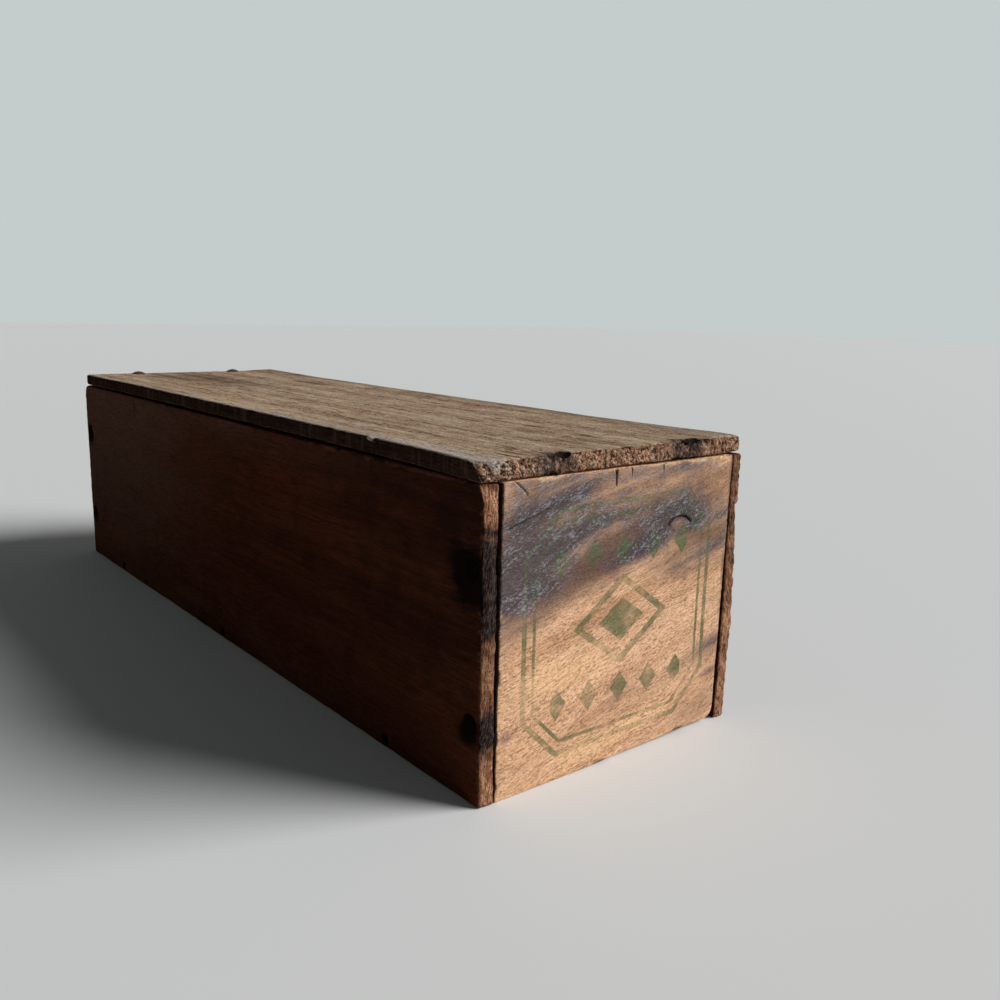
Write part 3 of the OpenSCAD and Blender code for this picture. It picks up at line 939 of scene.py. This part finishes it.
def end_board(end, seed):
    """An end, let in between the sides."""
    is_front = end == "front"
    sign = -1 if is_front else 1
    node = f"{end}_end_board"
    low, high = box_of(node)
    x_zones = edge_zones(low[X], high[X], 3, 0.4)
    z_zones = edge_zones(low[Z], high[Z], 3.4, 0.35)
    y_zones = []
    if is_front:
        x_zones += [(FLAKE[0] - 6, FLAKE[0] + 6, 0.35), (-42, -28, 0.25)]
        x_zones += [(first[0] - 0.7, first[0] + 0.7, 0.14) for first, *rest in SPLITS[:3]]
        z_zones += [(FLAKE[1] - 4, FLAKE[1] + 5, 0.35), (72.5, 77.5, 0.25)]
    else:
        for hinge in HINGES:
            more_x, y_zones = leaf_zones(f"{hinge}_box_leaf")
            x_zones += more_x
    board = Board(node, END_GRID, (x_zones, y_zones, z_zones))
    x, y, z = board.start.T
    corner = ease(np.hypot(x - high[X], z - low[Z]), 3.5, 0.5) * 1.4 * is_front
    board.wear_edges(0.5, 2.2, seed, more=corner)
    outer = board.on_side(Y, sign)
    along, across = rotated(x, z, GRAIN_RISE)
    tilted = np.stack([along, y, across], axis=1)
    ripples = 0.09 * fractal(tilted / np.array((9, 5, 1.2)), seed + 1)
    board.points += board.normals * ripples[:, None]
    board.roughen(0.15, (30, 30, 18), seed + 2)
    if is_front:
        front_damage(board)
    else:
        for hinge in HINGES:
            screw_tops = box_of(f"{hinge}_screws")[1][Z]
            cut_mortise(board, f"{hinge}_box_leaf", 1, screw_tops - SEAT_DEPTH)
        weathering = fractal(tilted / np.array((36, 40, 10)), seed + 5)
        board.add("brown", ease(weathering, -0.5, 1.0) * 0.55 * outer)
        board.add("stain", ease(z, 60, WALL_TOP + 10) * (0.4 + 0.4 * weathering) * outer)
    sides = board.on_side(X, -1, 1)
    board.add("inside", board.on_side(Y, -sign))
    board.add("end_grain", sides)
    # Painted shade on the end grain at each side, where it fits between the sides.
    board.add("dirt", sides & (board.edge_distance > 0.3))
    material = FRONT_WOOD if is_front else REAR_WOOD
    board.make(f"{end}_end_plank", "box", material)


def bottom_board(seed):
    """The bottom, let in between the four walls."""
    low, high = box_of("bottom_board")
    zones = [edge_zones(low[axis], high[axis], 2.4, 0.6) for axis in (X, Y)]
    board = Board("bottom_board", BOTTOM_GRID, (*zones, []))
    board.wear_edges(0.6, 0.8, seed)
    board.roughen(0.12, (2.5, 40, 6), seed + 1)
    board.add("inside", board.on_side(Z, 1))
    weathering = board.noise((25, 60, 20), seed + 2)
    board.add("stain", ease(weathering, 0.1, 0.8) * 0.6)
    board.make("bottom_plank", "box", BOTTOM_WOOD)


# Size of the crumbs of torn end grain on the lid
CRUMBS = (0.9, 2.5, 0.9)
# Places on the lid's front edge where nails tore out: X of the torn wood, and of the hole in it
BREAKOUTS = ((-26.0, -23.4), (25.0, 28.0))
# Width, reach and drop of the torn hollow and of the hole, the hole's setback, and the most they reach
TORN_SIZE = (12.0, 3.2, 1.2)
HOLE_SIZE = (6.0, 2.4, 1.3)
HOLE_SETBACK, TORN_REACH = 1.0, 10
# Notches in both long edges: Y, depth
LID_NOTCHES, LID_NOTCH_DEPTH = (-111.7, 81.0), 0.6
# A splinter on the left edge: how far it lies behind the first notch, and stands out and up
SPLINTER_BEHIND, SPLINTER_OUT, SPLINTER_UP = 1.6, 1.5, 0.3
# Brown weathering on the lid: x, y, radii across and along, turn, strength
LID_STAINS = (
    (-4, 104, 18, 70, 0, 0.5),
    (-20, 126, 10, 24, 0, 0.3),
    (24, 8, 5, 40, 0, 0.2),
)
# Radius of the lid's corners in plan
LID_CORNER = 1.5
# Chip off the lid's near left corner: how far it runs along the front and back along the edge
CHIP_WIDTH, CHIP_REACH = 7.0, 3.8
# Warp of the lid: swollen front, cupped left edge, sprung rear right corner, spread to left and right
SWELLING, CUPPING, SPRINGING, LEFT_SPREAD, RIGHT_SPREAD = 0.4, 0.35, 0.6, 1.1, 1.3


def bite(board, x, setback, size, ragged):
    """Cuts a hollow of some width, reach and drop behind the front top edge, and says where."""
    half, reach, drop = size[0] / 2, size[1], size[2]
    forward = (half**2 - reach**2) / (2 * reach)
    above = (half**2 - drop**2) / (2 * drop)
    centre = np.array([x, board.low[Y] + setback - forward, board.high[Z] + above])
    hollow = board.scoop(centre, math.hypot(half, forward, above) + ragged)
    return hollow & (board.start[:, Y] < board.low[Y] + TORN_REACH)


def lid_breakouts(board, seed):
    """Torn, stained wood along the front edge, with a hole in each place painted black as shade."""
    x, y, z = board.start.T
    front = board.low[Y]
    ragged = board.noise((1.3, 3.0, 1.3), seed)
    fringe = board.noise((1.0, 3.5, 1.4), seed + 2)
    near_front = y < front + TORN_REACH
    for torn_x, hole_x in BREAKOUTS:
        bite(board, torn_x, 0.0, TORN_SIZE, 1.5 * ragged)
        black = bite(board, hole_x, HOLE_SETBACK, HOLE_SIZE, 0.8 * ragged)
        distance = np.hypot((x - torn_x) / 1.25, (y - front) * 1.3)
        torn = ease(distance + 3.0 * fringe, 8.6, 2.6) * near_front
        board.add("brown", (0.66 + 0.6 * fringe) * torn)
        # Partly painted shade: the dark mottling follows the noise that cuts the hollow deeper.
        board.add("dirt", 0.8 * ease(fringe + 0.7 * ragged, 0.0, 0.6) * torn)
        # Painted shade: each hole is painted black.
        board.add("dirt", black * (0.8 + 0.5 * fringe))


def lid_edges(board, seed):
    """Notches both long edges, and raises a ragged splinter, which is returned."""
    high = board.high
    x, y, z = board.start.T
    for notch_y, sign in itertools.product(LID_NOTCHES, (-1, 1)):
        notch = ease(np.abs(y - notch_y), 1.3, 0.2) * board.on_side(X, sign)
        board.move(X, -sign * LID_NOTCH_DEPTH * notch)
        # Painted shade in the notches, below the top.
        board.add("dirt", 0.5 * notch * (z < high[Z] - 0.5))
    splinter = ease(np.abs(y - LID_NOTCHES[0] - SPLINTER_BEHIND), 3.6, 1.6)
    splinter *= ease(-x, high[X] - 1.2, high[X] - 0.2)
    frayed = ease(board.noise((50, 1.1, 50), seed), -0.2, 0.4)
    splinter *= frayed * ease(z, high[Z] - 1.7, high[Z] - 0.4)
    board.move(X, -SPLINTER_OUT * splinter)
    board.move(Z, SPLINTER_UP * splinter)
    return splinter


def lid_shape(board):
    """The lid's plan corners, its warp and its chipped corner."""
    low, high = board.low, board.high
    x, y, z = board.start.T
    middle = (low + high) / 2
    reach = (high - low) / 2 - LID_CORNER
    offset = board.points[:, :2] - middle[:2]
    corner = np.sign(offset) * np.clip(np.abs(offset) - reach[:2], 0, None)
    length = np.linalg.norm(corner, axis=1)
    in_corner = (np.abs(corner) > 0).all(axis=1)
    scale = np.abs(corner).max(axis=1) / np.maximum(length, 1e-9)
    board.points[:, :2] -= corner * (in_corner * (1 - scale))[:, None]

    level = (z - low[Z]) / (high[Z] - low[Z])
    front = ease(y, low[Y] + 70, low[Y])
    swollen = SWELLING * front * (level - 0.5 * ease(x, -20, low[X]))
    ahead_of_hinge = ease(y, 140, 100)
    cupped = ease(x, 5, low[X]) * ahead_of_hinge * ease(y, low[Y] + 5, low[Y] + 60)
    board.move(Z, swollen + CUPPING * cupped)
    board.move(Z, SPRINGING * (ease(x, 28, high[X]) * ease(y, 90, high[Y])))
    near_front = ease(y, low[Y] + 30, low[Y])
    board.move(X, -LEFT_SPREAD * ease(x, -40, low[X]) * near_front)
    board.move(X, RIGHT_SPREAD * ease(x, 40, high[X]) * near_front)
    chip = ease(x, low[X] + CHIP_WIDTH, low[X]) * ease(y, low[Y] + 4 * CHIP_REACH, low[Y])
    board.move(Y, CHIP_REACH * chip * level)


def weather_lid(board, splinter, seed):
    """Long edges darkened as painted shade, brown and grey weathering, worn places, and painted shade
    and highlights on the torn front end of the lid.
    """
    low, high = board.low, board.high
    x, y, z = board.start.T
    top = board.on_side(Z, 1)
    front_end = board.on_side(Y, -1)
    ends = front_end | board.on_side(Y, 1)
    long_edges = board.on_side(X, -1, 1)
    # Painted shade: the iron mask darkens the long edges and a ragged band of the top along them.
    stripes = board.noise((9, 3.5, 12), seed + 10)
    ragged = 0.5 * board.noise((2, 2.5, 2), seed + 11)
    edge_band = ease(np.abs(x), high[X] - 0.9 - ragged, high[X] - 0.3 - ragged)
    board.add("iron", (0.75 + 0.2 * stripes) * np.where(top, edge_band, long_edges) * (1 - ends))
    board.masks["iron"] *= 1 - np.clip(1.2 * splinter, 0, 1)
    board.add("wear", splinter)

    weathering = board.noise((7, 70, 20), seed + 6)
    board.add("stain", ease(weathering, -0.1, 1.2) * 0.7 * top)
    board.add("stain", patches(x, y, LID_STAINS) * top)
    board.add("brown", 0.36 * ease(x + 4 * weathering, 30, 48) * top)
    # Painted shade and highlights: the torn front end is darkened where its crumbs are pushed in and
    # lightened where they stand out, on the same noise as its roughening.
    crumbs = board.noise(CRUMBS, seed + 2)
    torn_front = (0.3 + 0.5 * ease(x, -15, low[X] + 4)) * front_end
    board.add("dirt", torn_front * ease(crumbs, -0.1, -0.5))
    board.add("wear", torn_front * ease(crumbs, 0.1, 0.5))

    edge_noise = board.noise((3, 30, 5), seed + 7)
    reach = 9 + 6 * ease(y, -60, -150)
    left_edge = ease(x + 2.0 * edge_noise - low[X], reach, 1.0)
    board.add("wear", left_edge * (0.44 + 0.14 * ease(y, -90, -140)) * top)
    board.add("wear", 0.36 * ease(x, 22, 46) * ease(y, -70, -140) * top)
    corner = np.hypot(x - low[X] - 2, y - low[Y])
    tips = ease(board.noise((1.2, 2.5, 1.2), seed + 8), -0.4, 0.5)
    worn_corner = ease(corner, 9, 1.5) * tips * ease(z, low[Z] + 2.4, high[Z])
    board.add("wear", worn_corner * (ends | top))


def lid(seed):
    """The lid, with end grain at the front and the rear."""
    low, high = box_of("lid_board")
    x_zones = edge_zones(low[X], high[X], 3.2, 0.4)
    y_zones = [(low[Y], low[Y] + 9, 0.4), (high[Y] - 6, high[Y], 0.5)]
    y_zones += [(notch_y - 2.4, notch_y + 5.0, 0.3) for notch_y in LID_NOTCHES]
    for hinge in HINGES:
        more_x, more_y = leaf_zones(f"{hinge}_lid_leaf")
        x_zones += more_x
    board = Board("lid_board", LID_GRID, (x_zones, y_zones + more_y, []))
    x, y, z = board.start.T
    right_corner = np.hypot(x - high[X], y - low[Y])
    board.wear_edges(0.9, 1.0, seed, more=ease(right_corner, 9, 2) * 0.9, pale=0.2)
    ends = board.on_side(Y, -1, 1)
    board.roughen(0.12, (2.2, 36, 6), seed + 1, board.on_side(Z, 1))
    board.roughen(0.48, CRUMBS, seed + 2, ends)
    board.roughen(0.15, (18, 90, 30), seed + 3)
    crumbled = np.clip(board.noise((1.5, 3, 1.5), seed + 9) + 0.1, 0, 1)
    crumbled *= ease(y, low[Y] + 2.4, low[Y]) * ease(z, low[Z] + 1.6, high[Z])
    board.move(Y, 1.1 * crumbled)
    board.move(Z, -0.5 * crumbled)
    lid_breakouts(board, seed + 4)
    splinter = lid_edges(board, seed + 12)
    for hinge in HINGES:
        cut_mortise(board, f"{hinge}_lid_leaf", -1, low[Z] + SEAT_DEPTH)
    lid_shape(board)
    board.add("inside", board.on_side(Z, -1) * (1.0 - ends))
    board.add("end_grain", ends)
    weather_lid(board, splinter, seed)
    board.make("lid_plank", "lid", LID_WOOD)


SIDE_WOODS = {
    "left": aged_wood("side_wood_aged_and_shade_darkened", lengthways, SIDE_TONES, 11),
    "right": aged_wood("right_wood_aged_and_shade_darkened", lengthways, RIGHT_TONES, 11),
}
FRONT_WOOD = aged_wood(
    "front_wood_aged", lambda s: turned(s, GRAIN_RISE), FRONT_TONES, 23, stamped_ornament
)
REAR_WOOD = aged_wood("rear_wood_aged", lambda s: turned(s, REAR_GRAIN_RISE), FRONT_TONES, 31)
LID_WOOD = aged_wood("lid_wood_aged", lengthways, LID_TONES, 47)
BOTTOM_WOOD = aged_wood("bottom_wood_aged", lengthways, FRONT_TONES, 59)

side_board("left", 100)
side_board("right", 200)
end_board("front", 300)
end_board("rear", 400)
bottom_board(500)
lid(600)

# Nails, brads and hinges keep their CAD shapes
NAIL_IRON = old_iron("black_nail_iron", (13, 11, 11), (28, 18, 14), 0.0)
HINGE_STEEL = old_iron("old_hinge_steel", (48, 44, 43), (78, 50, 36), 0.3)
for name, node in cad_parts.items():
    if not node.hide_render:
        node.data.materials.clear()
        node.data.materials.append(HINGE_STEEL if "hinge" in name else NAIL_IRON)


# Stage, lights and camera

FLOOR_TONE, FLOOR_REACH = colour(222, 223, 222), 5000 * MM
# The wall that the camera sees, and the share of its light that falls on the object
WALL_TONE, WORLD_LIGHT = colour(196, 204, 204), 0.1
# Key light: where it comes from, its strength, and its spread in degrees
KEY_FROM, KEY_STRENGTH, KEY_SPREAD = (0.69, -0.56, 0.46), 4.6, 38
CAMERA_PLACE = Vector((-188.5, -337.4, 126.6)) * MM
CAMERA_AZIMUTH, CAMERA_ELEVATION, CAMERA_ROLL = (math.radians(a) for a in (-39.21, 11.35, 1.28))
CAMERA_NEAREST = 10 * MM
SENSOR_WIDTH, FOCAL_PIXELS, FRAME_PIXELS = 36.0, 952.5, 1000


def stage_floor():
    """A wide floor of plain pale paint."""
    material = bpy.data.materials.new("pale_floor")
    material.use_nodes = True
    shader = material.node_tree.nodes["Principled BSDF"]
    shader.inputs["Base Color"].default_value = FLOOR_TONE
    shader.inputs["Roughness"].default_value = 0.9
    mesh = bpy.data.meshes.new("floor")
    corners = [(u * FLOOR_REACH, v * FLOOR_REACH, 0) for u, v in ((-1, -1), (1, -1), (1, 1), (-1, 1))]
    mesh.from_pydata(corners, [], [(0, 1, 2, 3)])
    mesh.materials.append(material)
    floor = bpy.data.objects.new("floor", mesh)
    bpy.context.scene.collection.objects.link(floor)


def key_light():
    """One broad, even light."""
    data = bpy.data.lights.new("key", "SUN")
    data.energy = KEY_STRENGTH
    data.angle = math.radians(KEY_SPREAD)
    holder = bpy.data.objects.new("key", data)
    holder.rotation_euler = Vector(KEY_FROM).to_track_quat("Z", "Y").to_euler()
    bpy.context.scene.collection.objects.link(holder)


def world_light():
    """A weak even light, seen as a pale wall by the camera and in gloss."""
    world = bpy.data.worlds.new("studio")
    world.use_nodes = True
    tree = world.node_tree
    path = tree.nodes.new("ShaderNodeLightPath")
    seen = Field(tree, path.outputs["Is Camera Ray"])
    for ray in ("Is Glossy Ray", "Is Transmission Ray"):
        seen = seen.op("MAXIMUM", Field(tree, path.outputs[ray]))
    strength = seen * (1.0 - WORLD_LIGHT) + WORLD_LIGHT
    background = tree.nodes["Background"]
    background.inputs["Color"].default_value = WALL_TONE
    tree.links.new(strength.socket, background.inputs["Strength"])
    bpy.context.scene.world = world



def camera():
    """The photograph's camera, from a fit to the corners of the box."""
    data = bpy.data.cameras.new("camera")
    data.sensor_width = SENSOR_WIDTH
    data.lens = data.sensor_width * FOCAL_PIXELS / FRAME_PIXELS
    data.clip_start = CAMERA_NEAREST
    turn = Euler((math.pi / 2 - CAMERA_ELEVATION, 0, CAMERA_AZIMUTH)).to_matrix()
    turn = turn @ Matrix.Rotation(CAMERA_ROLL, 3, "Z")
    holder = bpy.data.objects.new("camera", data)
    holder.matrix_world = Matrix.Translation(CAMERA_PLACE) @ turn.to_4x4()
    bpy.context.scene.collection.objects.link(holder)
    bpy.context.scene.camera = holder


stage_floor()
world_light()
key_light()
camera()
bpy.context.scene.view_settings.view_transform = "Standard"
